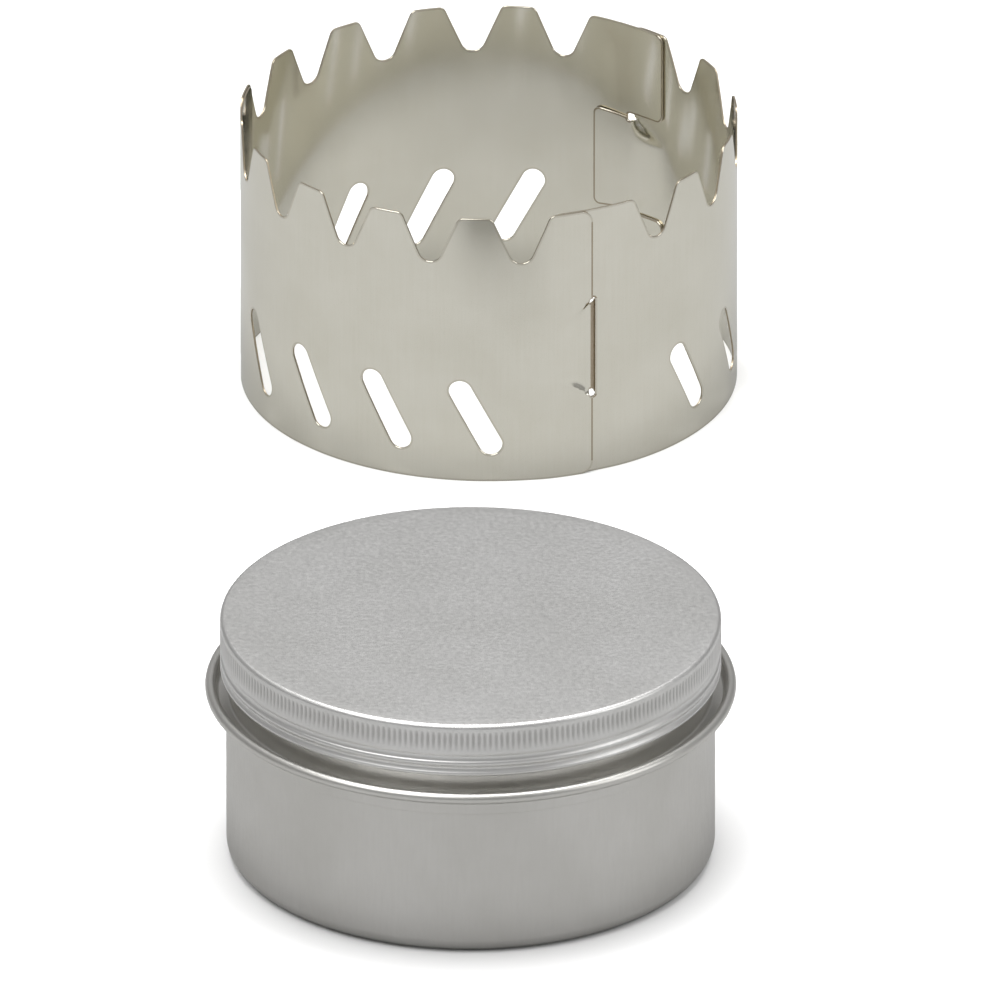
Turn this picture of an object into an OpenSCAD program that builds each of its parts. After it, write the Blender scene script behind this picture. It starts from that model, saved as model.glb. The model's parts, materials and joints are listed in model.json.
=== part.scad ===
// Alcohol spirit stove: a screw-top tin holding a wick, and a three-panel pot stand.
// Millimetres. The origin is the middle of the tin's base, +Z is up, and the pot stand
// stands on the same surface behind the tin, along +Y.

/* [Tin] */
// Outer diameter of the tin body
body_d = 82; // [70:0.5:100]
// Height of the closed tin
tin_h = 43; // [38:0.5:50]
// Thickness of the drawn aluminium
tin_t = 0.4; // [0.3:0.05:0.5]
// Radius of the round corner at the base
base_r = 2.6; // [1.5:0.1:4]
// Outer diameter over the rolled bead of the flange
flange_d = 89; // [88.5:0.25:90]
// Radius of the rolled bead
bead_r = 0.95; // [0.8:0.05:1.1]

/* [Lid] */
// Outer diameter of the lid
lid_d = 84; // [83.5:0.25:85]
// Height of the lid's skirt
lid_h = 9.5; // [9:0.1:10.5]
// Height of the knurled band
knurl_h = 4.6; // [3:0.1:5]
// Number of ribs in the knurled band
knurl_ribs = 120; // [60:6:180]
// Thickness of the liner under the lid's top
liner_t = 1.2; // [0.8:0.1:1.6]

/* [Wick] */
// Height of the top of the wick pad
wick_top = 24; // [15:1:26]
// Diameter of the holes in the wick screen
screen_hole_d = 3; // [2:0.5:4]
// Distance between the holes in the wick screen
screen_pitch = 7; // [6:0.5:10]

/* [Pot stand] */
// Outer diameter of the pot stand
stand_d = 85; // [84:0.25:85.2]
// Height of the pot stand
stand_h = 49.5; // [45:0.5:55]
// Thickness of the stainless sheet
sheet_t = 0.35; // [0.3:0.05:0.4]
// Angle of the first hook joint, seen from above
first_joint = -65; // [-90:1:-30]
// Distance from the tin's centre back to the stand's centre
stand_y = 182; // [150:1:220]
// Sideways offset of the stand's centre
stand_x = 3; // [0:0.5:10]

/* [Teeth and slots] */
// Angle between neighbouring teeth
tooth_pitch = 21.3; // [20:0.1:21.5]
// Depth of the valleys between the teeth
valley_depth = 8.5; // [5:0.5:10]
// Radius of the round bottom of a valley
valley_r = 2.1; // [1.5:0.1:2.5]
// Half the width of a valley at the top of the teeth
valley_half_w = 5.9; // [5:0.1:6.4]
// Width of a vent slot
slot_w = 4; // [3:0.25:5]
// Length of a vent slot between its round ends' centres
slot_l = 11.1; // [8:0.1:12]
// Lean of a vent slot from upright
slot_lean = 28; // [0:1:40]
// Height of the middle of the vent slots
slot_z = 11.9; // [9:0.1:14]

/* [Hook joints] */
// Height of the bottom of the tab at its root
tab_z0 = 14.8; // [13:0.1:16]
// Height of the top of the tab at its root
tab_z1 = 32.2; // [30:0.1:33]
// How much taller the tab's tip is, above and below
tab_flare = 0.5; // [0:0.1:0.5]
// Length of the tab past the joint line
tab_l = 7; // [5:0.5:9]
// Length of the ears and arms that overlap at the joint
overlap_l = 8; // [6:0.5:9]
// Gap between sheets that lie on each other
layer_gap = 0.06; // [0.04:0.01:0.1]

/* [Hidden] */
$fn = 96;

// Tin
body_r = body_d / 2;
body_in_r = body_r - tin_t;
lid_r = lid_d / 2;
lid_z0 = tin_h - lid_h;                     // bottom edge of the lid
liner_z0 = tin_h - tin_t - liner_t;         // underside of the liner
neck_r = lid_r - 1.6;                       // outside of the neck
neck_in_r = neck_r - tin_t;
rim_gap = 0.05;                             // the liner rests this close to the rim
rim_r = 0.5;                                // radius of the neck's rolled rim
neck_z1 = liner_z0 - rim_gap;               // top of the neck's rim
bead_cr = flange_d / 2 - bead_r;            // radius of the bead's centre line
bead_z = lid_z0 - 3.2;                      // height of the bead's centre line
gutter_z = bead_z - 1.2;                    // floor of the gutter
shoulder_z = bead_z - 2.4;                  // where the wall turns out to the flange
step_z = bead_z - 4.4;                      // faint step in the wall below the flange
step_t = 0.12;
thread_out = 0.4;                           // how far the rolled thread stands proud
thread_zs = [lid_z0 + 1.4, lid_z0 + 4.4];   // heights of the thread's ridges
liner_r = lid_r - 1;

// Wick
pad_gap = 0.2;
screen_t = 0.4;
screen_rim_h = 2.5;
screen_z = wick_top + pad_gap;

// Pot stand
stand_r = stand_d / 2;
layer = sheet_t + layer_gap;                // radial step from one sheet to the next
joint_angles = [first_joint, first_joint + 120, first_joint + 240];
deg_per_mm = 180 / (PI * stand_r);
overlap_a = overlap_l * deg_per_mm;
tab_a = tab_l * deg_per_mm;
mouth_gap = 0.65;                           // the mouth is this much taller at each side
relief_r = 0.7;                             // round relief at the root of the tab
tooth_r = 1.3;                              // round corners of the teeth
arc_short = 8;                              // round corners' arcs stop this far from flat
ear_r = 2.2;                                // round outer corners of the ears
arm_r = 1.6;                                // round corners of the arms
tab_r = 1.2;                                // round corners of the tab's tip
tip_in = 0.03;                              // the tab's tip leans in this much further
ease = 0.04;                                // neighbouring steps of the sheet differ this much in height
cut_depth = 4;                              // how far the radial cutters reach
overcut = 2;                                // how far a cutter runs past an edge
slack = 0.3;                                // overlap in degrees where pieces of one solid join
end_gap_a = 0.5 * deg_per_mm;               // gap from an arm's end to where the ears step out
ear_gap_a = 0.3 * deg_per_mm;               // gap from the ears' end to the neighbour's wall
step_a = 1.2 * deg_per_mm;                  // the tab steps in this far before the joint line
flare_a = 0.45;                             // the tab's tip widens this far past the joint line

// Points along an arc, from angle a0 to a1 about (cx, cy).
function arc(cx, cy, r, a0, a1, n = 8) =
    [for (i = [0:n]) let (a = a0 + (a1 - a0) * i / n) [cx + r * cos(a), cy + r * sin(a)]];

// ---------------------------------------------------------------- tin

// The drawn wall: base, side, flange fold, neck and rolled rim, as one closed outline.
function tin_outline() = concat(
    [[0, 0]],
    arc(body_r - base_r, base_r, base_r, -90, 0),
    [
        [body_r, step_z], [body_r + step_t, step_z + step_t],
        [body_r + step_t, shoulder_z],
    ],
    arc(bead_cr, bead_z, bead_r, -60, 180, 20),
    arc(bead_cr - bead_r - 0.5, gutter_z + 0.4, 0.4, 0, -90, 4),
    arc(neck_r + 0.4, gutter_z + 0.4, 0.4, -90, -180, 4),
    [[neck_r, neck_z1 - rim_r]],
    arc(neck_r - rim_r, neck_z1 - rim_r, rim_r, 0, 180, 10),
    [
        [neck_r - 2 * rim_r, neck_z1 - 2 * rim_r], [neck_in_r, neck_z1 - 3.5 * rim_r],
        [neck_in_r, gutter_z - 0.4], [body_in_r, shoulder_z - 0.6],
    ],
    arc(body_r - base_r, base_r, base_r - tin_t, 0, -90),
    [[0, tin_t]]
);

module tin_body() color("silver") {
    rotate_extrude() polygon(tin_outline());
    for (z = thread_zs)
        rotate_extrude() translate([neck_r - 0.25, z])
            polygon(arc(0, 0, thread_out + 0.25, -90, 90, 8));
}

module wick_pad() color("ivory") {
    r = body_in_r - pad_gap;
    rotate_extrude() polygon([
        [0, tin_t], [r - base_r, tin_t], [r, tin_t + base_r], [r, wick_top], [0, wick_top]
    ]);
}

// A hexagonal field of holes inside a circle.
module hole_field(pitch, d, r) {
    n = ceil(r / pitch);
    for (i = [-n:n], j = [-n:n]) {
        x = pitch * (i + j / 2);
        y = pitch * j * sqrt(3) / 2;
        if (norm([x, y]) < r) translate([x, y]) circle(d = d, $fn = 24);
    }
}

module wick_screen() color("darkgray") {
    r = body_in_r - pad_gap;
    translate([0, 0, screen_z]) {
        linear_extrude(screen_t) difference() {
            circle(r);
            hole_field(screen_pitch, screen_hole_d, r - screen_hole_d);
        }
        linear_extrude(screen_rim_h) difference() {
            circle(r);
            circle(r - screen_t);
        }
    }
}

// ---------------------------------------------------------------- lid

knurl_z1 = tin_h - 0.7;
knurl_z0 = knurl_z1 - knurl_h;
waist_t = 0.3;                              // depth of the waist below the knurl
ridge_r = 0.5;                              // ridge round the skirt
ridge_z = lid_z0 + 2.4;
curl_r = 0.45;                              // curl at the skirt's lower edge
rib_t = 0.18;                               // depth of the knurl's ribs
lid_corner_r = 0.7;

function lid_outline() = concat(
    [[0, tin_h]],
    arc(lid_r - lid_corner_r, tin_h - lid_corner_r, lid_corner_r - rib_t, 90, 0, 6),
    [
        [lid_r - rib_t, knurl_z0], [lid_r - waist_t, knurl_z0 - 0.5],
        [lid_r - waist_t, knurl_z0 - 1],
    ],
    arc(lid_r - ridge_r, ridge_z, ridge_r, 60, -60, 6),
    [[lid_r - waist_t, lid_z0 + 1.5]],
    arc(lid_r - curl_r, lid_z0 + curl_r, curl_r, 60, -180, 12),
    [
        [lid_r - waist_t - tin_t, lid_z0 + 1.5],
        [lid_r - waist_t - tin_t, knurl_z0 - 0.5],
        [lid_r - rib_t - tin_t, knurl_z0 + 0.2],
        [lid_r - rib_t - tin_t, tin_h - tin_t - 0.3],
        [lid_r - rib_t - tin_t - 0.3, tin_h - tin_t],
        [0, tin_h - tin_t],
    ]
);

// The knurl's outline: ribs stand out to the lid's full radius.
function knurl_outline() = [
    for (i = [0:knurl_ribs - 1], k = [0:3])
        let (a = (i + [0, 0.3, 0.5, 0.8][k]) * 360 / knurl_ribs,
             r = lid_r - (k < 2 ? 0 : rib_t))
        [r * cos(a), r * sin(a)]
];

module lid() color("lightgray") {
    rotate_extrude() polygon(lid_outline());
    translate([0, 0, knurl_z0]) linear_extrude(knurl_h) difference() {
        polygon(knurl_outline());
        circle(lid_r - rib_t - tin_t / 2);
    }
}

module lid_liner() color("white")
    translate([0, 0, liner_z0]) cylinder(r = liner_r, h = liner_t - rim_gap);

// ---------------------------------------------------------------- pot stand

// A piece of the stand's sheet between two angles and two heights, moved in or out by dr.
module sheet(a0, a1, z0, z1, dr = 0)
    rotate([0, 0, a0]) rotate_extrude(angle = a1 - a0)
        translate([stand_r - sheet_t + dr, z0]) square([sheet_t, z1 - z0]);

// Lays a flat shape on the stand's wall at angle a, and cuts radially with it.
module radial_cut(a, z = 0)
    rotate([0, 0, a]) translate([stand_r - cut_depth, 0, z])
        rotate([90, 0, 90]) linear_extrude(2 * cut_depth) children();

// The outside of a round corner at the origin, filling the quadrant (sx, sy).
// The arc stops just short of both edges, so that it meets them at a clear angle.
module corner_waste(r, sx, sy) {
    side = arc(r, r, r, 180 + arc_short, 270 - arc_short, 8);
    mirror([sx < 0 ? 1 : 0, 0]) mirror([0, sy < 0 ? 1 : 0]) polygon(concat(
        [[-overcut, -overcut], [-overcut, side[0][1]]], side, [[side[8][0], -overcut]]
    ));
}

// The valley between two teeth: a round bottom, straight flanks and round shoulders.
// Each flank is the line that touches both the bottom's circle and the shoulder's.
function valley_side() =
    let (bottom = [0, valley_r - valley_depth],
         shoulder = [valley_half_w, -tooth_r],
         v = shoulder - bottom,
         touch = atan2(v[1], v[0]) - acos((valley_r + tooth_r) / norm(v)))
    concat(
        arc(bottom[0], bottom[1], valley_r, -90, touch, 6),
        arc(shoulder[0], shoulder[1], tooth_r, 180 + touch, 90 + arc_short, 6),
        [[valley_half_w, overcut]]
    );

module valley_shape() {
    side = valley_side();
    polygon(concat(side, [for (i = [len(side) - 1:-1:1]) [-side[i][0], side[i][1]]]));
}

module slot_shape() rotate(slot_lean) union() {
    square([slot_w, slot_l], center = true);
    for (s = [-1, 1]) translate([0, s * slot_l / 2]) circle(slot_w / 2, $fn = 48);
}

// One panel, from its forked end at angle a to its tab end at a + 120.
module panel(a) {
    e = a + 120;
    mid = a + 60;
    ear_a = e - ear_gap_a;                  // where the ears end
    arm_a = a - overlap_a + end_gap_a;      // where the arms end
    difference() {
        union() {
            // main wall
            sheet(a, e - overlap_a, 0, stand_h);
            // fork: two arms that lie just inside
            for (z = [[ease, tab_z0 - mouth_gap], [tab_z1 + mouth_gap, stand_h - ease]])
                sheet(arm_a, a + slack, z[0], z[1], -layer / 2);
            // ears that lie just outside the neighbour's arms
            for (z = [[ease, tab_z0 - ease], [tab_z1 + ease, stand_h - ease]])
                sheet(e - overlap_a - slack, ear_a, z[0], z[1], layer / 2);
            // tab: through the mouth, then inside the neighbour's wall
            sheet(e - overlap_a - slack, e - step_a, tab_z0, tab_z1, -layer / 2);
            sheet(e - step_a - slack, e + flare_a + slack, tab_z0 + ease, tab_z1 - ease, -layer);
            sheet(
                e + flare_a, e + tab_a, tab_z0 - tab_flare, tab_z1 + tab_flare,
                -layer - tip_in
            );
        }
        for (k = [-2:2]) radial_cut(mid + k * tooth_pitch, stand_h) valley_shape();
        for (k = [-1.5:1:1.5]) radial_cut(mid + k * tooth_pitch, slot_z) slot_shape();
        for (z = [tab_z0, tab_z1]) radial_cut(ear_a, z) circle(relief_r, $fn = 32);
        // round corners of the ears, arms and tab
        radial_cut(ear_a, 0) corner_waste(ear_r, -1, 1);
        radial_cut(ear_a, stand_h) corner_waste(ear_r, -1, -1);
        radial_cut(arm_a, 0) corner_waste(arm_r, 1, 1);
        radial_cut(arm_a, tab_z0 - mouth_gap) corner_waste(arm_r, 1, -1);
        radial_cut(arm_a, tab_z1 + mouth_gap) corner_waste(arm_r, 1, 1);
        radial_cut(arm_a, stand_h) corner_waste(arm_r, 1, -1);
        radial_cut(e + tab_a, tab_z0 - tab_flare) corner_waste(tab_r, -1, 1);
        radial_cut(e + tab_a, tab_z1 + tab_flare) corner_waste(tab_r, -1, -1);
    }
}

module placed_panel(i) color("lightslategray") translate([stand_x, stand_y, 0]) panel(joint_angles[i]);

module panel_right() placed_panel(0);
module panel_back() placed_panel(1);
module panel_front() placed_panel(2);

tin_body();
wick_pad();
wick_screen();
lid();
lid_liner();
panel_right();
panel_back();
panel_front();
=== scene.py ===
"""Alcohol spirit stove: a closed screw-top tin, with its three-panel pot stand standing behind it.

Everything is in metres, in the CAD model's frame. MM turns the millimetres of the drawing into metres.
"""

import json
import math

import bmesh
import bpy
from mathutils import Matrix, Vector


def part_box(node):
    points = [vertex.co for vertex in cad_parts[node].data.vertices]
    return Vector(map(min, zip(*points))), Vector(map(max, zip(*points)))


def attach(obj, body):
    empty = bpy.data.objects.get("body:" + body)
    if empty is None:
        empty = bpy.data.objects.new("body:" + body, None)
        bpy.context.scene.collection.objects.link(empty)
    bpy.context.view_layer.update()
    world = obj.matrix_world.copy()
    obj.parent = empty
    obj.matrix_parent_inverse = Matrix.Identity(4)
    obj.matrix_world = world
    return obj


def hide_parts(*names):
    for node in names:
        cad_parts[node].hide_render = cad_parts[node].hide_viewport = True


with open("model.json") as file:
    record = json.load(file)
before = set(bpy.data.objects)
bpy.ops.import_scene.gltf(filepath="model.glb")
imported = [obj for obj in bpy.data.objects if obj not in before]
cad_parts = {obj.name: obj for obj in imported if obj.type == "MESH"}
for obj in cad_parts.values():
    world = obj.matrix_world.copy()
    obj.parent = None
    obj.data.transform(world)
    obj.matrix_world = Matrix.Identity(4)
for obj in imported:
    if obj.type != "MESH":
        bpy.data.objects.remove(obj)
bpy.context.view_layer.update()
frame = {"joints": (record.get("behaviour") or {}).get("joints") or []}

MM = 0.001

# ---------------------------------------------------------------- sizes from the frame

LID_LOW, LID_HIGH = (Vector(v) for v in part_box("lid"))
TIN_LOW, TIN_HIGH = (Vector(v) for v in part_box("tin_body"))
LINER_LOW, LINER_HIGH = (Vector(v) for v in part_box("lid_liner"))
PAD_LOW, PAD_HIGH = (Vector(v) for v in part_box("wick_pad"))
SCREEN_LOW, SCREEN_HIGH = (Vector(v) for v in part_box("wick_screen"))

LID_R = LID_HIGH.x
TIN_TOP = LID_HIGH.z
LID_Z0 = LID_LOW.z
FLANGE_R = TIN_HIGH.x
RIM_Z = TIN_HIGH.z

STAND_R = 42.5 * MM                  # outside of the stand's sheet
STAND_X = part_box("panel_right")[1][0] - STAND_R
STAND_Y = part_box("panel_back")[1][1] - STAND_R
STAND_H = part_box("panel_right")[1][2]

# ---------------------------------------------------------------- camera

CAM_ELEVATION = math.radians(26)
CAM_DISTANCE = 8.0
VIEW_WIDTH = 0.1695                  # what the camera sees across, at the aim point
SENSOR = 36
AIM = Vector((5.0 * MM, 0.5 * (TIN_LOW.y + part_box("panel_back")[1][1]), 20.5 * MM))


def make_camera():
    """A long lens from the front, above the tin."""
    data = bpy.data.cameras.new("camera")
    data.sensor_width = SENSOR
    data.lens = SENSOR * CAM_DISTANCE / VIEW_WIDTH
    data.clip_end = 20
    camera = bpy.data.objects.new("camera", data)
    away = Vector((0, -math.cos(CAM_ELEVATION), math.sin(CAM_ELEVATION)))
    camera.location = AIM + CAM_DISTANCE * away
    camera.rotation_euler = away.to_track_quat("Z", "Y").to_euler()
    bpy.context.collection.objects.link(camera)
    bpy.context.scene.camera = camera


make_camera()

# ---------------------------------------------------------------- node helpers


class Graph:
    """A material's node tree, with short calls for the nodes that the materials share."""

    def __init__(self, name):
        self.material = bpy.data.materials.new(name)
        self.material.use_nodes = True
        self.tree = self.material.node_tree
        self.nodes = self.tree.nodes
        self.shader = self.nodes["Principled BSDF"]

    def link(self, out, into):
        self.tree.links.new(out, into)

    def node(self, kind, **values):
        """A new node, with its settings."""
        made = self.nodes.new(kind)
        for key, value in values.items():
            setattr(made, key, value)
        return made

    def coords(self, scale=(1, 1, 1)):
        """Object coordinates in metres, scaled along each axis."""
        source = self.node("ShaderNodeTexCoord")
        mapping = self.node("ShaderNodeMapping")
        mapping.inputs["Scale"].default_value = scale
        self.link(source.outputs["Object"], mapping.inputs["Vector"])
        return mapping.outputs["Vector"]

    def noise(self, vector, scale, detail=3, rough=0.5, distortion=0.0):
        made = self.node("ShaderNodeTexNoise")
        made.inputs["Scale"].default_value = scale
        made.inputs["Detail"].default_value = detail
        made.inputs["Roughness"].default_value = rough
        made.inputs["Distortion"].default_value = distortion
        self.link(vector, made.inputs["Vector"])
        return made.outputs["Fac"]

    def remap(self, value, low, high, from_low=0.0, from_high=1.0):
        made = self.node("ShaderNodeMapRange")
        made.inputs["From Min"].default_value = from_low
        made.inputs["From Max"].default_value = from_high
        made.inputs["To Min"].default_value = low
        made.inputs["To Max"].default_value = high
        self.link(value, made.inputs["Value"])
        return made.outputs["Result"]

    def math(self, kind, *values):
        """A Math node on numbers or sockets."""
        made = self.node("ShaderNodeMath", operation=kind)
        for socket, value in zip(made.inputs, values):
            if isinstance(value, (int, float)):
                socket.default_value = value
            else:
                self.link(value, socket)
        return made.outputs["Value"]

    def mix(self, factor, a, b):
        """A colour between a and b. Each is a colour or a socket."""
        made = self.node("ShaderNodeMix", data_type="RGBA")
        for socket, value in ((made.inputs["Factor"], factor), (made.inputs[6], a), (made.inputs[7], b)):
            if isinstance(value, tuple):
                socket.default_value = (*value, 1)
            else:
                self.link(value, socket)
        return made.outputs[2]

    def bump(self, height, strength, distance, normal=None):
        made = self.node("ShaderNodeBump")
        made.inputs["Strength"].default_value = strength
        made.inputs["Distance"].default_value = distance
        self.link(height, made.inputs["Height"])
        if normal is not None:
            self.link(normal, made.inputs["Normal"])
        return made.outputs["Normal"]

    def split(self, kind="Object"):
        """The x, y and z of a texture coordinate: Object is the place, Normal the way it faces."""
        source = self.node("ShaderNodeTexCoord")
        made = self.node("ShaderNodeSeparateXYZ")
        self.link(source.outputs[kind], made.inputs[0])
        return tuple(made.outputs)

    def polar(self, centre_x, centre_y, radius):
        """(length round an upright axis, height), for marks that follow a round wall."""
        x, y, z = self.split()
        from_x = self.math("SUBTRACT", x, centre_x)
        from_y = self.math("SUBTRACT", y, centre_y)
        return self.math("MULTIPLY", self.math("ARCTAN2", from_y, from_x), radius), z

    def combine(self, x, y):
        """A flat vector from two sockets."""
        made = self.node("ShaderNodeCombineXYZ")
        self.link(x, made.inputs["X"])
        self.link(y, made.inputs["Y"])
        return made.outputs["Vector"]

    def stretched(self, x, y, scale_x, scale_y):
        """A flat vector, with each way scaled."""
        return self.combine(self.math("MULTIPLY", x, scale_x), self.math("MULTIPLY", y, scale_y))

    def set(self, **values):
        """Sets the shader's sockets by name, each to a constant or a link."""
        for key, value in values.items():
            socket = self.shader.inputs[key.replace("_", " ").title()]
            if isinstance(value, bpy.types.NodeSocket):
                self.link(value, socket)
            else:
                socket.default_value = (*value, 1) if isinstance(value, tuple) else value


# ---------------------------------------------------------------- materials

STEEL_LIGHT = (0.88, 0.86, 0.765)
STEEL_DARK = (0.82, 0.80, 0.70)
STEEL_CUT = (0.36, 0.29, 0.20)
STEEL_CUT_LIGHT = (0.56, 0.49, 0.38)
ALU_LIGHT = (0.775, 0.77, 0.76)
ALU_DARK = (0.705, 0.70, 0.685)
TIN_LIGHT = (0.70, 0.69, 0.665)
TIN_DARK = (0.63, 0.62, 0.59)
# painted shade: the grey that darkens the knurl's grooves
GROOVE_SHADE_GREY = (0.20, 0.195, 0.185)
GROOVE_SHADE = 0.42                   # how far the painted shade in the knurl's grooves goes towards the grey above
FLOOR_IN_METAL = (0.36, 0.36, 0.36)  # the floor as the metal reflects it


def stainless(name, tint):
    """Bright rolled stainless: soft clouds and a fine upright grain.

    tint mixes in the brown of a cut edge, for the heat-tinted line along it, which at the joints is also
    painted shadow.
    """
    g = Graph(name)
    around, height = g.polar(STAND_X, STAND_Y, STAND_R)
    wall = g.combine(around, height)
    grain = g.noise(g.stretched(around, height, 2400, 70), 1, 3, 0.6)
    cloud = g.noise(wall, 70, 4, 0.55)
    broad = g.noise(wall, 26, 2, 0.5)
    colour = g.mix(g.remap(cloud, 0, 1, 0.3, 0.7), STEEL_LIGHT, STEEL_DARK)
    colour = g.mix(g.math("MULTIPLY_ADD", grain, 0.12, tint), colour, STEEL_CUT)
    rough = g.math("ADD", g.remap(cloud, 0.09, 0.13, 0.3, 0.7), g.math("MULTIPLY", grain, 0.03))
    normal = g.bump(grain, 0.06, 0.01 * MM)
    normal = g.bump(broad, 0.25, 0.35 * MM, normal)
    g.set(base_color=colour, metallic=1.0, roughness=rough, normal=normal)
    return g.material


def cut_edge_and_slit_shadow():
    """The sheared edge of the stainless: dull, brownish and finely torn. Also laid on the tab's outer face
    at its fold, as painted shadow in the slit.
    """
    g = Graph("stand_cut_edge_and_slit_shadow")
    torn = g.noise(g.coords((1, 1, 3)), 1600, 4, 0.6)
    g.set(
        base_color=g.mix(torn, STEEL_CUT, STEEL_CUT_LIGHT),
        metallic=1.0,
        roughness=g.remap(torn, 0.32, 0.5),
        normal=g.bump(torn, 0.3, 0.02 * MM),
    )
    return g.material


def aluminium(name, light, dark, rough_low, rough_high):
    """Satin aluminium, with clouds and specks all over.

    Walls have upright drawing marks. Flat faces have a faint fine grain.
    """
    g = Graph(name)
    around, height = g.polar(0.0, 0.0, LID_R)
    drawn = g.noise(g.stretched(around, height, 1500, 160), 1, 4, 0.65)
    rolled = g.noise(g.coords((900, 2600, 900)), 1, 3, 0.6)
    facing_up = g.split("Normal")[2]
    flat = g.remap(g.math("ABSOLUTE", facing_up), 0, 1, 0.6, 0.9)
    fine = g.math("MULTIPLY_ADD", rolled, 0.35, 0.325)
    marks = g.math("MULTIPLY_ADD", g.math("SUBTRACT", fine, drawn), flat, drawn)
    cloud = g.noise(g.coords(), 55, 3, 0.5)
    specks = g.noise(g.coords(), 1300, 2, 0.5)
    colour = g.mix(g.remap(cloud, 0, 1, 0.3, 0.7), light, dark)
    colour = g.mix(g.remap(marks, 0, 0.3, 0.35, 0.75), colour, dark)
    rough = g.remap(marks, rough_low, rough_high, 0.3, 0.7)
    rough = g.math("ADD", rough, g.remap(specks, -0.03, 0.03, 0.3, 0.7))
    normal = g.bump(marks, 0.10, 0.02 * MM)
    normal = g.bump(specks, 0.10, 0.02 * MM, normal)
    g.set(base_color=colour, metallic=1.0, roughness=rough, normal=normal)
    return g


def lid_aluminium():
    """The lid's aluminium, with painted shade darkening the grooves of the knurl."""
    g = aluminium("lid_satin_groove_shade", ALU_LIGHT, ALU_DARK, 0.36, 0.46)
    x, y, z = g.split()
    radius = g.math("SQRT", g.math("ADD", g.math("MULTIPLY", x, x), g.math("MULTIPLY", y, y)))
    groove = g.remap(radius, 1, 0, LID_R - RIB_DEPTH, LID_R - 0.3 * RIB_DEPTH)
    rows = g.remap(z, 0, 1, KNURL_LOW, KNURL_LOW + 0.6 * MM)
    rows = g.math("MULTIPLY", rows, g.math("LESS_THAN", z, KNURL_TOP))
    wall = g.math("GREATER_THAN", radius, LID_R - 1.5 * RIB_DEPTH)
    # painted shade: darker down in the knurl's grooves
    painted_groove_shade = g.math("MULTIPLY", g.math("MULTIPLY", groove, rows), g.math("MULTIPLY", wall, GROOVE_SHADE))
    plain = g.shader.inputs["Base Color"].links[0].from_socket
    g.set(base_color=g.mix(painted_groove_shade, plain, GROOVE_SHADE_GREY))
    return g.material


def wire_steel():
    """Dull drawn wire."""
    g = Graph("screen_wire")
    spots = g.noise(g.coords(), 1500, 4, 0.6)
    g.set(
        base_color=g.mix(spots, (0.45, 0.44, 0.42), (0.30, 0.29, 0.27)),
        metallic=1.0,
        roughness=g.remap(spots, 0.28, 0.45),
        normal=g.bump(spots, 0.2, 0.02 * MM),
    )
    return g.material


def fibre_felt():
    """Pale pressed fibre, matted and tufted."""
    g = Graph("wick_felt")
    lay = g.coords((1, 1, 2))
    fibres = g.noise(lay, 1900, 6, 0.75, 1.5)
    tufts = g.noise(lay, 260, 4, 0.6)
    g.set(
        base_color=g.mix(g.math("MULTIPLY", fibres, tufts), (0.86, 0.84, 0.79), (0.60, 0.57, 0.50)),
        roughness=g.remap(fibres, 0.82, 1.0),
        normal=g.bump(tufts, 0.5, 0.5 * MM, g.bump(fibres, 0.7, 0.15 * MM)),
    )
    g.shader.inputs["Sheen Weight"].default_value = 0.25
    g.shader.inputs["Specular IOR Level"].default_value = 0.2
    return g.material


def liner_foam():
    """Pale closed-cell foam with fine pores."""
    g = Graph("liner_foam")
    cells = g.node("ShaderNodeTexVoronoi")
    cells.inputs["Scale"].default_value = 1800
    g.link(g.coords(), cells.inputs["Vector"])
    pores = cells.outputs["Distance"]
    cloud = g.noise(g.coords(), 120, 3, 0.5)
    g.set(
        base_color=g.mix(g.math("MULTIPLY", cloud, pores), (0.84, 0.83, 0.80), (0.62, 0.61, 0.58)),
        roughness=g.remap(cloud, 0.55, 0.75),
        normal=g.bump(pores, 0.35, 0.05 * MM),
    )
    return g.material


def floor_paint():
    """A plain pale floor, which the metal reflects darker so that it has something to show."""
    g = Graph("floor_paint")
    cloud = g.noise(g.coords(), 6, 3, 0.5)
    pale = g.mix(cloud, (0.88, 0.88, 0.88), (0.86, 0.86, 0.86))
    ray = g.node("ShaderNodeLightPath")
    g.set(base_color=g.mix(ray.outputs["Is Glossy Ray"], pale, FLOOR_IN_METAL), roughness=0.7)
    g.shader.inputs["Specular IOR Level"].default_value = 0.1
    return g.material


# ---------------------------------------------------------------- mesh helpers


def finish_piece(name, mesh, material, node, body, smooth=35):
    """Adds a mesh as a piece that stands for a CAD node and rides on its body.

    material is one material, or a tuple of them for a mesh whose faces have indices.
    """
    obj = bpy.data.objects.new(name, mesh)
    bpy.context.collection.objects.link(obj)
    for each in material if isinstance(material, tuple) else (material,):
        mesh.materials.append(each)
    mesh.shade_smooth()
    mesh.set_sharp_from_angle(angle=math.radians(smooth))
    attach(obj, body)
    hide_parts(node)
    return obj


def arc(cx, cy, r, a0, a1, n=8):
    """n + 1 points along an arc, with its angles in degrees."""
    turns = [math.radians(a0 + (a1 - a0) * i / n) for i in range(n + 1)]
    return [(cx + r * math.cos(t), cy + r * math.sin(t)) for t in turns]


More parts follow.
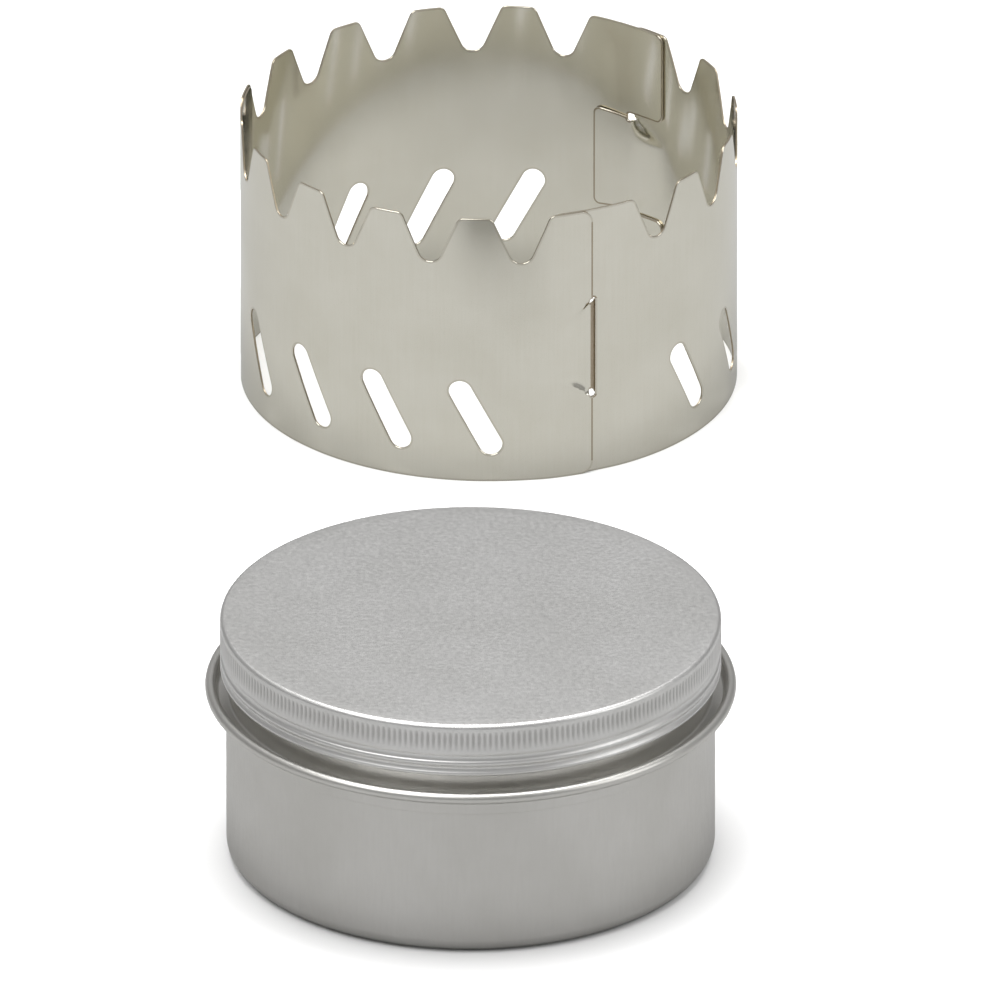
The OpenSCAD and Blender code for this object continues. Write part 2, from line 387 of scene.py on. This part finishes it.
def lathe(name, outline, segments, shift=None):
    """Turns a closed outline of (radius, height) points round the Z axis.

    shift(angle, radius, height) gives a new (radius, height), for ribs and threads.
    A point at radius 0 becomes one vertex.
    """
    bm = bmesh.new()
    rings = []
    for r, z in outline:
        if r < 1e-9:
            rings.append([bm.verts.new((0, 0, z))] * segments)
            continue
        ring = []
        for i in range(segments):
            a = math.tau * i / segments
            rr, zz = shift(a, r, z) if shift else (r, z)
            ring.append(bm.verts.new((rr * math.cos(a), rr * math.sin(a), zz)))
        rings.append(ring)
    for low, high in zip(rings, rings[1:] + rings[:1]):
        if low[0] is low[1] and high[0] is high[1]:
            continue
        for i in range(segments):
            j = (i + 1) % segments
            corners = []
            for v in (low[i], low[j], high[j], high[i]):
                if v not in corners:
                    corners.append(v)
            bm.faces.new(corners)
    bmesh.ops.recalc_face_normals(bm, faces=bm.faces)
    mesh = bpy.data.meshes.new(name)
    bm.to_mesh(mesh)
    bm.free()
    return mesh


# ---------------------------------------------------------------- tin

TIN_T = 0.4 * MM
BODY_R = 41 * MM
BASE_R = 2.6 * MM
BEAD_R = 0.95 * MM
BEAD_CR = FLANGE_R - BEAD_R
BEAD_Z = LID_Z0 - 3.2 * MM
GUTTER_Z = BEAD_Z - 1.2 * MM
SHOULDER_Z = BEAD_Z - 2.4 * MM
STEP_Z = BEAD_Z - 4.4 * MM
STEP_OUT = 0.12 * MM                 # how far the wall steps out below the flange
BASE_RISE = 0.25 * MM                # the base's middle stands this high
GUTTER_R = 0.45 * MM
NECK_R = LID_R - 1.6 * MM
NECK_IN_R = NECK_R - TIN_T
RIM_R = 0.5 * MM
THREAD_OUT = 0.38 * MM
THREAD_PITCH = 2.6 * MM
THREAD_TURNS = 1.6
THREAD_Z0 = LID_Z0 + 1.0 * MM
THREAD_HALF_W = 0.75 * MM
THREAD_RUN_OUT = 0.12                # turns over which the thread's ends fade
SEGMENTS = 256


def tin_outline():
    """The drawn wall: base, side, flange fold, neck and rolled rim."""
    rows = 6
    side = [(BODY_R, BASE_R + (STEP_Z - BASE_R) * i / rows) for i in range(1, rows)]
    step_r = BODY_R + STEP_OUT
    neck_rows = 22
    neck_low = GUTTER_Z + 0.5 * MM
    neck_high = RIM_Z - 2 * RIM_R
    neck = [(NECK_R, neck_low + (neck_high - neck_low) * i / neck_rows) for i in range(neck_rows + 1)]
    return (
        [(0, BASE_RISE), (BODY_R - 6.2 * MM, BASE_RISE)]
        + arc(BODY_R - 5.4 * MM, 0.5 * MM, 0.5 * MM, -120, -90, 3)
        + arc(BODY_R - BASE_R, BASE_R, BASE_R, -88, 0, 12)
        + side
        + [(BODY_R, STEP_Z - 0.25 * MM), (BODY_R, STEP_Z + 0.2 * MM)]
        + [(step_r, STEP_Z + 0.3 * MM), (step_r, SHOULDER_Z - 0.2 * MM)]
        + arc(BODY_R + 1.0 * MM, SHOULDER_Z - 0.15 * MM, 0.88 * MM, 180, 105, 6)
        + arc(BEAD_CR, BEAD_Z, BEAD_R, -75, 175, 28)
        + arc(BEAD_CR - BEAD_R - GUTTER_R, GUTTER_Z + GUTTER_R, GUTTER_R, 0, -90, 6)
        + arc(NECK_R + GUTTER_R, GUTTER_Z + GUTTER_R, GUTTER_R, -90, -180, 6)
        + neck
        + arc(NECK_R - RIM_R, RIM_Z - RIM_R, RIM_R, 0, 200, 14)
        + [(NECK_IN_R - 0.35 * MM, RIM_Z - 1.3 * MM), (NECK_IN_R, RIM_Z - 2.2 * MM)]
        + [(NECK_IN_R, GUTTER_Z - 0.2 * MM), (BODY_R - TIN_T, SHOULDER_Z - 0.6 * MM)]
        + arc(BODY_R - BASE_R, BASE_R, BASE_R - TIN_T, 0, -90, 10)
        + [(0, TIN_T)]
    )


def rolled_thread(angle, radius, height):
    """Pushes the neck's wall out along a round screw thread."""
    if abs(radius - NECK_R) > 1e-6 or height < GUTTER_Z + 0.6 * MM:
        return radius, height
    best = 0.0
    for turn in range(-1, 3):
        along = turn + angle / math.tau
        if not 0 <= along <= THREAD_TURNS:
            continue
        crest = THREAD_Z0 + THREAD_PITCH * along
        offset = (height - crest) / THREAD_HALF_W
        if abs(offset) < 1:
            ends = min(1.0, along / THREAD_RUN_OUT, (THREAD_TURNS - along) / THREAD_RUN_OUT)
            best = max(best, ends * 0.5 * (1 + math.cos(math.pi * offset)))
    return radius + THREAD_OUT * best, height


def make_tin(material):
    """The tin's drawn body."""
    mesh = lathe("tin_wall", tin_outline(), SEGMENTS, rolled_thread)
    return finish_piece("tin_wall", mesh, material, "tin_body", "tin", 50)


# ---------------------------------------------------------------- lid

KNURL_RIBS = 276
KNURL_STEPS = 6
KNURL_TOP = TIN_TOP - 1.0 * MM
KNURL_LOW = KNURL_TOP - 4.2 * MM
RIB_DEPTH = 0.22 * MM
LID_EDGE_R = 0.75 * MM


def lid_outline():
    """The lid's sheet: top, rounded edge, knurled band, waist, bead and curled hem."""
    outer = LID_R - 0.02 * MM
    waist = LID_R - 0.36 * MM
    knurl = [(outer, KNURL_TOP + (KNURL_LOW - KNURL_TOP) * i / 8) for i in range(9)]
    return (
        [(0, TIN_TOP), (LID_R * 0.5, TIN_TOP), (LID_R - 3 * MM, TIN_TOP)]
        + arc(outer - LID_EDGE_R, TIN_TOP - LID_EDGE_R, LID_EDGE_R, 90, 0, 10)
        + knurl
        + arc(waist + 0.5 * MM, KNURL_LOW - 0.75 * MM, 0.5 * MM, 140, 180, 4)
        + arc(outer - 0.62 * MM, LID_Z0 + 2.35 * MM, 0.62 * MM, 55, -55, 10)
        + arc(waist + 0.3 * MM, LID_Z0 + 1.45 * MM, 0.3 * MM, 150, 210, 4)
        + arc(outer - 0.5 * MM, LID_Z0 + 0.52 * MM, 0.5 * MM, 50, -190, 18)
        + [(waist - TIN_T, LID_Z0 + 1.4 * MM), (waist - TIN_T, KNURL_LOW - 0.6 * MM)]
        + [(outer - RIB_DEPTH - TIN_T, KNURL_LOW + 0.3 * MM)]
        + arc(outer - TIN_T - 0.6 * MM, TIN_TOP - TIN_T - 0.4 * MM, 0.4 * MM, 0, 90, 5)
        + [(LID_R * 0.5, TIN_TOP - TIN_T), (0, TIN_TOP - TIN_T)]
    )


def knurled(angle, radius, height):
    """Presses fine upright ribs into the skirt below the lid's top edge."""
    if radius < LID_R - 0.05 * MM or not KNURL_LOW <= height <= KNURL_TOP:
        return radius, height
    place = (height - KNURL_LOW) / (KNURL_TOP - KNURL_LOW)
    fade = min(1.0, 2.2 * place, 6 * (1 - place))
    wave = abs(math.sin(angle * KNURL_RIBS / 2)) ** 1.5
    return radius - RIB_DEPTH * fade * wave, height


def make_lid(material):
    """The lid, with enough segments for its ribs."""
    mesh = lathe("lid_shell", lid_outline(), KNURL_RIBS * KNURL_STEPS, knurled)
    return finish_piece("lid_shell", mesh, material, "lid", "lid", 50)


def make_liner(material):
    """The liner disc, pressed into a shallow groove over the tin's rim."""
    r, z0, z1, c = LINER_HIGH.x - 0.1 * MM, LINER_LOW.z, LINER_HIGH.z, 0.15 * MM
    groove_r = NECK_R - RIM_R
    outline = (
        [(0, z0), (groove_r - 0.9 * MM, z0)]
        + arc(groove_r, z0 - 0.25 * MM, 0.4 * MM, 141, 39, 6)
        + [(groove_r + 0.6 * MM, z0), (r - c, z0), (r, z0 + c), (r, z1 - c), (r - c, z1), (0, z1)]
    )
    mesh = lathe("liner_disc", outline, 160)
    return finish_piece("liner_disc", mesh, material, "lid_liner", "liner")


# ---------------------------------------------------------------- wick


def make_pad(material):
    """The pressed fibre pad, with a softly uneven top."""
    r = PAD_HIGH.x - 0.15 * MM
    z0, z1 = PAD_LOW.z, PAD_HIGH.z

    def uneven(angle, radius, height):
        if height < z1 - 0.01 * MM:
            return radius, height
        lumps = math.sin(5 * angle + radius * 900) + math.sin(9 * angle - radius * 1700)
        return radius, height - (0.3 + 0.12 * lumps) * MM

    rings = 14
    top = [(r - (r - 0.5 * MM) * i / rings, z1) for i in range(1, rings)]
    outline = (
        [(0, z0), (r - 2.8 * MM, z0), (r, z0 + 2.8 * MM)]
        + arc(r - 1 * MM, z1 - 1.3 * MM, 1 * MM, 0, 70, 5)
        + top
        + [(0, z1 - 0.3 * MM)]
    )
    mesh = lathe("wick_felt", outline, 128, uneven)
    return finish_piece("wick_felt", mesh, material, "wick_pad", "tin", 60)


WIRE_R = 0.16 * MM
WIRE_PITCH = 1.7 * MM
WIRE_SIDES = 6
UP = Vector((0, 0, 1))


def add_wire(bm, start, end, across, phase, z):
    """One woven wire from start to end, passing over and under its neighbours."""
    length = (end - start).length
    steps = max(2, round(length / WIRE_PITCH) * 2)
    along = (end - start).normalized()
    rings = []
    for i in range(steps + 1):
        place = start + along * (length * i / steps)
        wave = math.cos(math.pi * (place.dot(along) / WIRE_PITCH + phase))
        centre = Vector((place.x, place.y, z + 1.02 * WIRE_R * wave))
        ring = []
        for k in range(WIRE_SIDES):
            t = math.tau * k / WIRE_SIDES
            out = math.cos(t) * across + math.sin(t) * UP
            ring.append(bm.verts.new(centre + WIRE_R * out))
        rings.append(ring)
    for a, b in zip(rings, rings[1:]):
        for k in range(WIRE_SIDES):
            after = (k + 1) % WIRE_SIDES
            bm.faces.new((a[k], a[after], b[after], b[k]))
    bm.faces.new(rings[0][::-1])
    bm.faces.new(rings[-1])


def make_screen(material):
    """A woven wire disc in a folded rim."""
    rim_r = SCREEN_HIGH.x - 0.1 * MM
    z0, z1 = SCREEN_LOW.z, SCREEN_HIGH.z
    t = 0.35 * MM
    outline = (
        [(rim_r - 3.2 * MM, z0 + t), (rim_r - 3.2 * MM, z0)]
        + arc(rim_r - 0.8 * MM, z0 + 0.8 * MM, 0.8 * MM, -90, 0, 6)
        + arc(rim_r - t / 2, z1 - t / 2, t / 2, 0, 180, 6)
        + arc(rim_r - 0.8 * MM, z0 + 0.8 * MM, 0.8 * MM - t, 0, -90, 6)
    )
    mesh = lathe("screen_mesh", outline, 160)
    bm = bmesh.new()
    bm.from_mesh(mesh)
    reach = rim_r - 1.0 * MM
    count = int(reach / WIRE_PITCH)
    z = z0 + t + 2.2 * WIRE_R
    for i in range(-count, count + 1):
        offset = (i + 0.5) * WIRE_PITCH
        if abs(offset) >= reach - 1 * MM:
            continue
        half = math.sqrt(reach**2 - offset**2)
        add_wire(bm, Vector((-half, offset, 0)), Vector((half, offset, 0)), Vector((0, 1, 0)), i + 0.5, z)
        add_wire(bm, Vector((offset, -half, 0)), Vector((offset, half, 0)), Vector((1, 0, 0)), i + 1.5, z)
    bmesh.ops.recalc_face_normals(bm, faces=bm.faces)
    bm.to_mesh(mesh)
    bm.free()
    return finish_piece("screen_mesh", mesh, material, "wick_screen", "tin", 60)


# ---------------------------------------------------------------- pot stand

SHEET_T = 0.35 * MM
LAYER = SHEET_T + 0.06 * MM          # radial step from one sheet to the next
EDGE_BEVEL = 0.05 * MM
TINT_W = 0.28 * MM                   # width of the heat-tinted line along every cut edge, browner at the joints as painted shadow
TOOTH_PITCH = math.radians(21.3) * STAND_R
VALLEY_DEPTH = 8.5 * MM
VALLEY_R = 2.1 * MM
VALLEY_HALF_W = 5.9 * MM
TOOTH_R = 1.3 * MM
SLOT_W = 4.0 * MM
SLOT_L = 11.1 * MM
SLOT_LEAN = math.radians(28)
SLOT_Z = 11.9 * MM
TAB_Z0 = 14.8 * MM
TAB_Z1 = 32.2 * MM
TAB_FLARE = 0.5 * MM
TAB_L = 7.0 * MM
OVERLAP_L = 8.0 * MM
MOUTH_GAP = 0.65 * MM
ARM_END = 0.5 * MM                   # the arms stop this much short of the overlap's start
EAR_GAP = 0.3 * MM                   # the ears stop this much short of the neighbour's wall
SLIT_W = 0.35 * MM                   # width of the slit that the tab goes down through
JOGGLE_L = 7.0 * MM                  # length over which the sheet leans in or out to pass its neighbour
RELIEF_R = 0.6 * MM
EAR_R = 2.2 * MM
ARM_R = 1.6 * MM
TAB_R = 1.2 * MM
TAB_ROOT_L = 1.6 * MM                # from the joint to where the tab starts to flare
TAB_ROOT_OUT = 0.15 * MM             # how far the tab has widened there, on each side
SLIT_R = 0.5 * MM
DIVE_END = 0.4 * MM                  # the tab has passed its neighbour this far before the joint
PANEL_L = math.radians(120) * STAND_R
MID_R = STAND_R - SHEET_T / 2
JOINT_ZONE = 0.5 * MM                # the line is browner, as painted shadow for the gap where the panels meet, from this far inside each joint outwards
CUT_EDGE_AND_SLIT_SHADOW, EDGE_LINE, TINT_AND_JOINT_SHADOW_LINE = 1, 2, 3   # places in the panels' list of materials, after the plain face


def valley(centre):
    """A valley between two teeth, from left to right, as points of the top edge."""
    floor = (0.0, STAND_H - VALLEY_DEPTH + VALLEY_R)
    shoulder = (VALLEY_HALF_W, STAND_H - TOOTH_R)
    dx, dy = shoulder[0] - floor[0], shoulder[1] - floor[1]
    touch = math.degrees(math.atan2(dy, dx) - math.acos((VALLEY_R + TOOTH_R) / math.hypot(dx, dy)))
    right = arc(*floor, VALLEY_R, -90, touch, 8) + arc(*shoulder, TOOTH_R, 180 + touch, 90, 8)
    left = [(-x, y) for x, y in right[:0:-1]]
    return [(centre + x, y) for x, y in left + right]


def panel_outline():
    """The flat panel's edge, anticlockwise from the lower left, in (length, height)."""
    arm_s = -OVERLAP_L + ARM_END
    end = PANEL_L
    mid = end / 2
    low, high = TAB_Z0, TAB_Z1
    mouth_low, mouth_high = low - MOUTH_GAP, high + MOUTH_GAP
    tip = end + TAB_L
    points = arc(arm_s + ARM_R, ARM_R, ARM_R, 180, 270, 8)
    ear = end - EAR_GAP
    points += arc(ear - EAR_R, EAR_R, EAR_R, -90, 0, 8)
    # lower ear, relief, tab, relief, upper ear
    points += [(ear, low - RELIEF_R)]
    points += arc(ear, low, RELIEF_R, 270, 0, 12)
    points += [(end + TAB_ROOT_L, low - TAB_ROOT_OUT)]
    points += arc(tip - TAB_R, low - TAB_FLARE + TAB_R, TAB_R, -100, 0, 7)
    points += arc(tip - TAB_R, high + TAB_FLARE - TAB_R, TAB_R, 0, 100, 7)
    points += [(end + TAB_ROOT_L, high + TAB_ROOT_OUT)]
    points += arc(ear, high, RELIEF_R, 0, -270, 12)
    points += arc(ear - EAR_R, STAND_H - EAR_R, EAR_R, 0, 90, 8)
    # teeth, right to left
    for k in (2, 1, 0, -1, -2):
        points += valley(mid + k * TOOTH_PITCH)[::-1]
    # upper arm, mouth, lower arm
    points += arc(arm_s + ARM_R, STAND_H - ARM_R, ARM_R, 90, 180, 8)
    points += arc(arm_s + ARM_R, mouth_high + ARM_R, ARM_R, 180, 270, 8)
    points += arc(SLIT_W - SLIT_R, mouth_high - SLIT_R, SLIT_R, 90, 0, 5)
    points += arc(SLIT_W - SLIT_R, mouth_low + SLIT_R, SLIT_R, 0, -90, 5)
    points += arc(arm_s + ARM_R, mouth_low - ARM_R, ARM_R, 90, 180, 8)
    return points


def slot_outline(centre):
    """A round-ended slot that leans back at its top."""
    top = arc(0, SLOT_L / 2, SLOT_W / 2, 0, 180, 16)
    low = arc(0, -SLOT_L / 2, SLOT_W / 2, 180, 360, 16)
    c, s = math.cos(SLOT_LEAN), math.sin(SLOT_LEAN)
    return [(centre + x * c - y * s, SLOT_Z + x * s + y * c) for x, y in top + low]


def ramp(value, low, high):
    """0 below low, 1 above high, and smooth between."""
    t = min(1.0, max(0.0, (value - low) / (high - low)))
    return t * t * (3 - 2 * t)


def sheet_offset(s, z):
    """How far the sheet stands out from the stand's radius, so that the hooked ends pass each other.

    The arms lean in, the ears lean out and the tab dives in between the arms.
    """
    end = PANEL_L
    tab_rows = ramp(z, TAB_Z0 - 0.2 * MM, TAB_Z0 + 0.5 * MM) * (
        1 - ramp(z, TAB_Z1 - 0.5 * MM, TAB_Z1 + 0.2 * MM)
    )
    if s > end:
        tab_rows = 1.0
    arms = -LAYER / 2 * (1 - ramp(s, 0.0, JOGGLE_L))
    ears = LAYER / 2 * ramp(s, end - OVERLAP_L - JOGGLE_L, end - OVERLAP_L)
    inside = min(z - TAB_Z0, TAB_Z1 - z)
    dive_l = 2.0 * MM + 6.0 * MM * ramp(inside, 0.0, 4.5 * MM)
    dive = ramp(s, end - dive_l, end - DIVE_END)
    tab = ears * (1 - dive) - 1.5 * LAYER * dive
    return arms + ears * (1 - tab_rows) + tab * tab_rows


def flat_sheet():
    """The flat panel with its slots, as a mesh of the sheet's thickness with eased edges."""
    curve = bpy.data.curves.new("flat_panel", "CURVE")
    curve.dimensions = "2D"
    curve.fill_mode = "BOTH"
    curve.extrude = SHEET_T / 2 - EDGE_BEVEL
    curve.bevel_depth = EDGE_BEVEL
    curve.bevel_resolution = 0
    curve.offset = -EDGE_BEVEL
    mid = PANEL_L / 2
    loops = [panel_outline()] + [slot_outline(mid + k * TOOTH_PITCH) for k in (-1.5, -0.5, 0.5, 1.5)]
    for loop in loops:
        spline = curve.splines.new("POLY")
        spline.points.add(len(loop) - 1)
        for point, (x, y) in zip(spline.points, loop):
            point.co = (x, y, 0, 1)
        spline.use_cyclic_u = True
    holder = bpy.data.objects.new("flat_panel", curve)
    bpy.context.collection.objects.link(holder)
    bpy.context.view_layer.update()
    mesh = bpy.data.meshes.new_from_object(holder.evaluated_get(bpy.context.evaluated_depsgraph_get()))
    bpy.data.objects.remove(holder)
    bpy.data.curves.remove(curve)
    return mesh


def mark_edge_lines(bm):
    """Insets a narrow band along every edge of both faces, for the heat-tinted line, browner near the
    joints as painted shadow for the gap there.
    """
    for side in (1, -1):
        faces = [f for f in bm.faces if side * f.normal.z > 0.9]
        band = bmesh.ops.inset_region(
            bm, faces=faces, thickness=TINT_W, use_boundary=True, use_even_offset=True
        )
        for face in band["faces"]:
            s = face.calc_center_median().x
            # painted shadow: near the joints the line is browner, for the shaded gap where the panels meet
            at_joint = s < JOINT_ZONE or s > PANEL_L - JOINT_ZONE
            face.material_index = TINT_AND_JOINT_SHADOW_LINE if at_joint else EDGE_LINE


def cut_for_bending(bm):
    """Cuts the flat panel into columns, and its hooked end into rows too, so that it can bend."""
    column = math.radians(1.0) * STAND_R
    columns = [i * column for i in range(-11, 131)]
    columns += [PANEL_L - (0.4 + 0.4 * i) * MM for i in range(19)]
    columns += [PANEL_L + SLIT_W]
    for s in sorted(columns):
        geometry = bm.verts[:] + bm.edges[:] + bm.faces[:]
        bmesh.ops.bisect_plane(bm, geom=geometry, dist=1e-7, plane_co=(s, 0, 0), plane_no=(1, 0, 0))
    inside = [-0.2, 0.0, 0.25, 0.5, 1.0, 1.5, 2.0, 2.5, 3.0, 3.5, 4.0, 4.5, 6.0]
    rows = [TAB_Z0 + c * MM for c in inside] + [TAB_Z1 - c * MM for c in inside]
    for z in rows:
        faces = [f for f in bm.faces if f.calc_center_median().x > PANEL_L - OVERLAP_L - 1 * MM]
        edges = dict.fromkeys(e for f in faces for e in f.edges)
        verts = dict.fromkeys(v for f in faces for v in f.verts)
        geometry = faces + list(edges) + list(verts)
        bmesh.ops.bisect_plane(bm, geom=geometry, dist=1e-7, plane_co=(0, z, 0), plane_no=(0, 1, 0))


def paint_slit_shadow(bm):
    """Paints the tab's outer face at its fold with the dark cut-edge material: painted shadow for the slit
    that the tab goes down through.
    """
    for face in bm.faces:
        s, z, out = face.calc_center_median()
        if PANEL_L - EAR_GAP < s < PANEL_L + SLIT_W and TAB_Z0 < z < TAB_Z1 and out > 0:
            # painted shadow: the slit's shade, laid on as the dark cut-edge material
            face.material_index = CUT_EDGE_AND_SLIT_SHADOW


def bend(bm, start):
    """Bends the flat panel round the stand's axis, from its forked end at angle start."""
    for v in bm.verts:
        s, z, out = v.co
        r = MID_R + out + sheet_offset(s, z)
        a = start + s / STAND_R
        v.co = (STAND_X + r * math.cos(a), STAND_Y + r * math.sin(a), z)
    bmesh.ops.recalc_face_normals(bm, faces=bm.faces)


def mark_cut_edges(bm):
    """Marks the faces across the sheet's thickness, once the panel is bent."""
    for face in bm.faces:
        middle = face.calc_center_median()
        outward = Vector((middle.x - STAND_X, middle.y - STAND_Y, 0)).normalized()
        if abs(face.normal.dot(outward)) < 0.5:
            face.material_index = CUT_EDGE_AND_SLIT_SHADOW


def panel_mesh(name, start):
    """A whole panel, from its forked end at angle start."""
    mesh = flat_sheet()
    bm = bmesh.new()
    bm.from_mesh(mesh)
    bmesh.ops.remove_doubles(bm, verts=bm.verts, dist=1e-6)
    mark_edge_lines(bm)
    cut_for_bending(bm)
    paint_slit_shadow(bm)
    bend(bm, start)
    mark_cut_edges(bm)
    bm.to_mesh(mesh)
    bm.free()
    mesh.name = name
    return mesh


def joint_angle(joint_name):
    """The angle of a hook joint round the stand's centre."""
    x, y, _ = next(j for j in frame["joints"] if j["name"] == joint_name)["pos_m"]
    return math.atan2(y - STAND_Y, x - STAND_X)


def make_stand(materials):
    """The three panels, each a third of a turn after the last."""
    first = joint_angle("stand_front_open")
    for i, side in enumerate(("right", "back", "front")):
        name = f"stand_panel_{side}"
        mesh = panel_mesh(name, first + i * math.radians(120))
        finish_piece(name, mesh, materials, f"panel_{side}", f"stand_{side}", 30)


# ---------------------------------------------------------------- floor, lights and surroundings


def make_floor():
    """The pale floor, which belongs to the picture and not to the part."""
    bm = bmesh.new()
    bmesh.ops.create_grid(bm, x_segments=8, y_segments=8, size=3)
    mesh = bpy.data.meshes.new("floor")
    bm.to_mesh(mesh)
    bm.free()
    mesh.materials.append(floor_paint())
    floor = bpy.data.objects.new("floor", mesh)
    bpy.context.collection.objects.link(floor)


def area_light(name, place, size, power, target):
    """A rectangular light that faces the target."""
    data = bpy.data.lights.new(name, "AREA")
    data.shape = "RECTANGLE"
    data.size, data.size_y = size
    data.energy = power
    light = bpy.data.objects.new(name, data)
    light.location = place
    light.rotation_euler = (Vector(place) - Vector(target)).to_track_quat("Z", "Y").to_euler()
    bpy.context.collection.objects.link(light)


SKY_STOPS = ((0.0, 0.62), (0.12, 0.60), (0.35, 0.55), (0.7, 0.75), (1.0, 1.0))   # (height, grey)
SKY_IN_METAL = 0.50
SKY_ON_FLOOR = 0.85


def make_surroundings():
    """A pale studio, brighter above and darker low down, which the metal reflects.

    The camera sees plain white where there is no floor.
    """
    world = bpy.data.worlds.new("studio")
    bpy.context.scene.world = world
    world.use_nodes = True
    tree = world.node_tree
    background = tree.nodes["Background"]
    source = tree.nodes.new("ShaderNodeTexCoord")
    split = tree.nodes.new("ShaderNodeSeparateXYZ")
    ramp_node = tree.nodes.new("ShaderNodeValToRGB")
    tree.links.new(source.outputs["Generated"], split.inputs[0])
    tree.links.new(split.outputs["Z"], ramp_node.inputs["Fac"])
    tree.links.new(ramp_node.outputs["Color"], background.inputs["Color"])
    elements = ramp_node.color_ramp.elements
    for i, (place, grey) in enumerate(SKY_STOPS):
        element = elements[i] if i < 2 else elements.new(place)
        element.position = place
        element.color = (grey, grey, grey, 1)
    ray = tree.nodes.new("ShaderNodeLightPath")
    strength = tree.nodes.new("ShaderNodeMapRange")
    strength.inputs["To Min"].default_value = SKY_IN_METAL
    strength.inputs["To Max"].default_value = SKY_ON_FLOOR
    tree.links.new(ray.outputs["Is Diffuse Ray"], strength.inputs["Value"])
    tree.links.new(strength.outputs["Result"], background.inputs["Strength"])
    plain = tree.nodes.new("ShaderNodeBackground")
    choose = tree.nodes.new("ShaderNodeMixShader")
    tree.links.new(ray.outputs["Is Camera Ray"], choose.inputs[0])
    tree.links.new(background.outputs[0], choose.inputs[1])
    tree.links.new(plain.outputs[0], choose.inputs[2])
    plain.inputs["Color"].default_value = (1, 1, 1, 1)
    tree.links.new(choose.outputs[0], tree.nodes["World Output"].inputs["Surface"])


def make_lights():
    """Three soft lights round the middle of the scene."""
    middle = (STAND_X / 2, STAND_Y / 2, 0.02)
    area_light("key", (-0.5, -0.5, 1.1), (0.9, 0.7), 5.5, middle)
    area_light("fill", (0.9, -0.3, 0.6), (0.6, 0.8), 2.5, middle)
    area_light("top", (0.0, 0.2, 1.3), (0.9, 0.7), 16.5, middle)


# ---------------------------------------------------------------- make it all

make_tin(aluminium("tin_satin", TIN_LIGHT, TIN_DARK, 0.32, 0.42).material)
make_lid(lid_aluminium())
make_liner(liner_foam())
make_pad(fibre_felt())
make_screen(wire_steel())
make_stand(
    (
        stainless("stand_stainless", 0.0),
        cut_edge_and_slit_shadow(),
        stainless("stand_edge_line", 0.25),
        stainless("stand_tint_and_joint_shadow_line", 0.8),
    )
)
make_floor()
make_surroundings()
make_lights()

scene = bpy.context.scene
scene.view_settings.view_transform = "Standard"
